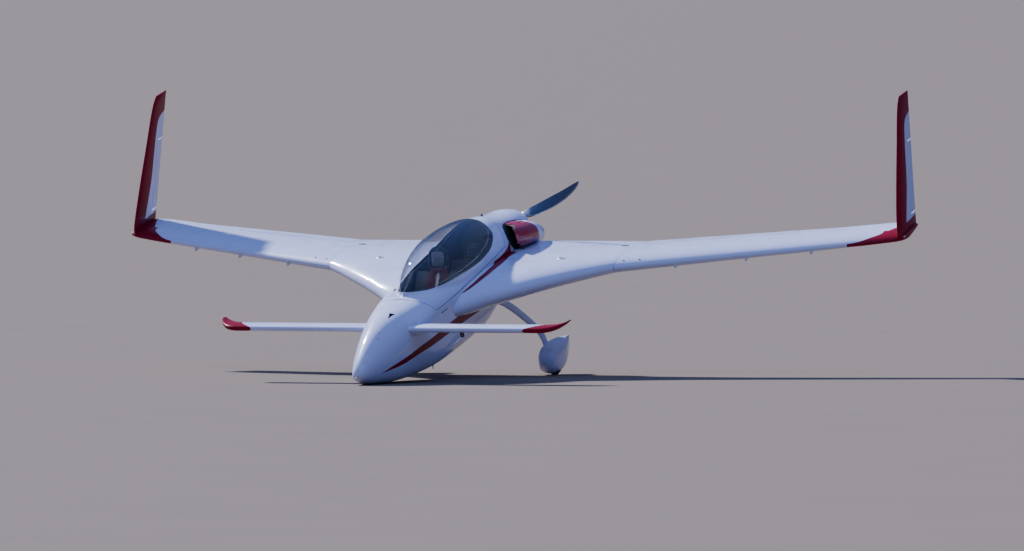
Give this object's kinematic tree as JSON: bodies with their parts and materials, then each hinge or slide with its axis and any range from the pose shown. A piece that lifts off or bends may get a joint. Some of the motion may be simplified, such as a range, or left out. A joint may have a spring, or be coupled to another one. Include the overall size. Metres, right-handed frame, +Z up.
{
  "type": "two-seat canard homebuilt aircraft",
  "caption": "Tandem canard pusher homebuilt aircraft parked nose-down, with strakes, swept wings, winglets, bubble canopy, bow main gear, moving controls, wheels and propeller.",
  "frame": {"origin": "middle of the footprint on the ground, under the parked aircraft", "axes": "+X towards the port wing tip, +Y aft, +Z up; the airframe is pitched 12.9 degrees nose-down"},
  "size_m": [7.76, 4.6119, 2.6344],
  "materials": {
    "white_gloss": "glossy white two-part paint over a moulded composite skin",
    "maroon_gloss": "glossy dark maroon paint",
    "canopy_glass": "grey-tinted acrylic, clear and glossy",
    "tyre": "black tyre rubber",
    "bare_aluminium": "bare machined aluminium",
    "steel": "satin steel",
    "exhaust_steel": "heat-stained stainless steel",
    "propeller_dark": "polished dark blue-grey, metallic",
    "engine_dark": "matt dark casting",
    "bumper_rubber": "black rubber, scuffed underneath",
    "seat_cloth": "woven grey cloth over foam",
    "dark_trim": "matt black"
  },
  "bodies": {
    "airframe": {"fuselage_shell": "white_gloss", "canard": "white_gloss", "strake_left": "white_gloss", "strake_right": "white_gloss", "wing_left": "white_gloss", "wing_right": "white_gloss", "winglet_left": "white_gloss", "winglet_right": "white_gloss", "main_gear_bow": "white_gloss", "axle_left": "steel", "axle_right": "steel", "wheel_pant_left": "white_gloss", "wheel_pant_right": "white_gloss", "nose_gear": "steel", "nose_bumper": "bumper_rubber", "front_seat": "seat_cloth", "rear_seat": "seat_cloth", "instrument_panel": "dark_trim", "firewall": "bare_aluminium", "console_left": "dark_trim", "console_right": "dark_trim", "cowl_upper": "white_gloss", "cowl_lower": "white_gloss", "cowl_cheek_left": "maroon_gloss", "cowl_cheek_right": "maroon_gloss", "engine_block": "engine_dark", "exhaust_left": "exhaust_steel", "exhaust_right": "exhaust_steel", "antenna": "dark_trim", "belly_antenna": "dark_trim", "pitot_tube": "steel"},
    "canopy": {"canopy_frame": "white_gloss", "canopy_glass": "canopy_glass"},
    "propeller": {"propeller": "propeller_dark", "prop_extension": "bare_aluminium", "spinner": "white_gloss"},
    "wheel_left": {"tyre_left": "tyre", "rim_left": "bare_aluminium"},
    "wheel_right": {"tyre_right": "tyre", "rim_right": "bare_aluminium"},
    "nose_wheel": {"nose_tyre": "tyre", "nose_rim": "bare_aluminium"},
    "elevators": {"elevator_left": "white_gloss", "elevator_right": "white_gloss"},
    "aileron_left": {"aileron_left": "white_gloss"},
    "aileron_right": {"aileron_right": "white_gloss"},
    "rudder_left": {"rudder_left": "white_gloss"},
    "rudder_right": {"rudder_right": "white_gloss"},
    "landing_brake": {"landing_brake": "white_gloss"}
  },
  "joints": [
    {"name": "canopy_hinge", "type": "hinge", "parent": "airframe", "child": "canopy", "pos_m": [-0.313, -0.09013, 0.90505], "axis": [0, -0.9639, -0.2661], "range_deg": [0, 85]},
    {"name": "propeller_spin", "type": "hinge", "parent": "airframe", "child": "propeller", "pos_m": [0, 1.77581, 1.41191], "axis": [0, 0.9748, 0.2233], "continuous": true},
    {"name": "main_wheel_left_spin", "type": "hinge", "parent": "airframe", "child": "wheel_left", "pos_m": [0.71, 0.99255, 0.142], "axis": [1, 0, 0], "continuous": true},
    {"name": "main_wheel_right_spin", "type": "hinge", "parent": "airframe", "child": "wheel_right", "pos_m": [-0.71, 0.99255, 0.142], "axis": [1, 0, 0], "continuous": true},
    {"name": "nose_wheel_spin", "type": "hinge", "parent": "airframe", "child": "nose_wheel", "pos_m": [0, -0.83439, 0.21292], "axis": [1, 0, 0], "continuous": true},
    {"name": "elevator_pitch", "type": "hinge", "parent": "airframe", "child": "elevators", "pos_m": [0, -1.31839, 0.51565], "axis": [1, 0, 0], "range_deg": [-20, 20]},
    {"name": "aileron_left_hinge", "type": "hinge", "parent": "airframe", "child": "aileron_left", "pos_m": [2.1175, 1.61841, 1.23787], "axis": [0.9498, 0.304, 0.0744], "range_deg": [-18, 18]},
    {"name": "aileron_right_hinge", "type": "hinge", "parent": "airframe", "child": "aileron_right", "pos_m": [-2.1175, 1.61841, 1.23787], "axis": [0.9498, -0.304, -0.0744], "range_deg": [-18, 18]},
    {"name": "rudder_left_hinge", "type": "hinge", "parent": "airframe", "child": "rudder_left", "pos_m": [3.7884, 2.15167, 1.82526], "axis": [0.0769, -0.0955, -0.9925], "range_deg": [0, 30]},
    {"name": "rudder_right_hinge", "type": "hinge", "parent": "airframe", "child": "rudder_right", "pos_m": [-3.7884, 2.15167, 1.82526], "axis": [0.0769, 0.0955, 0.9925], "range_deg": [0, 30]},
    {"name": "landing_brake_hinge", "type": "hinge", "parent": "airframe", "child": "landing_brake", "pos_m": [0, 0.27116, 0.42053], "axis": [-1, 0, 0], "range_deg": [0, 60]}
  ],
  "couplings": [
    {"joint": "aileron_right_hinge", "follows": "aileron_left_hinge", "ratio": -1}
  ]
}
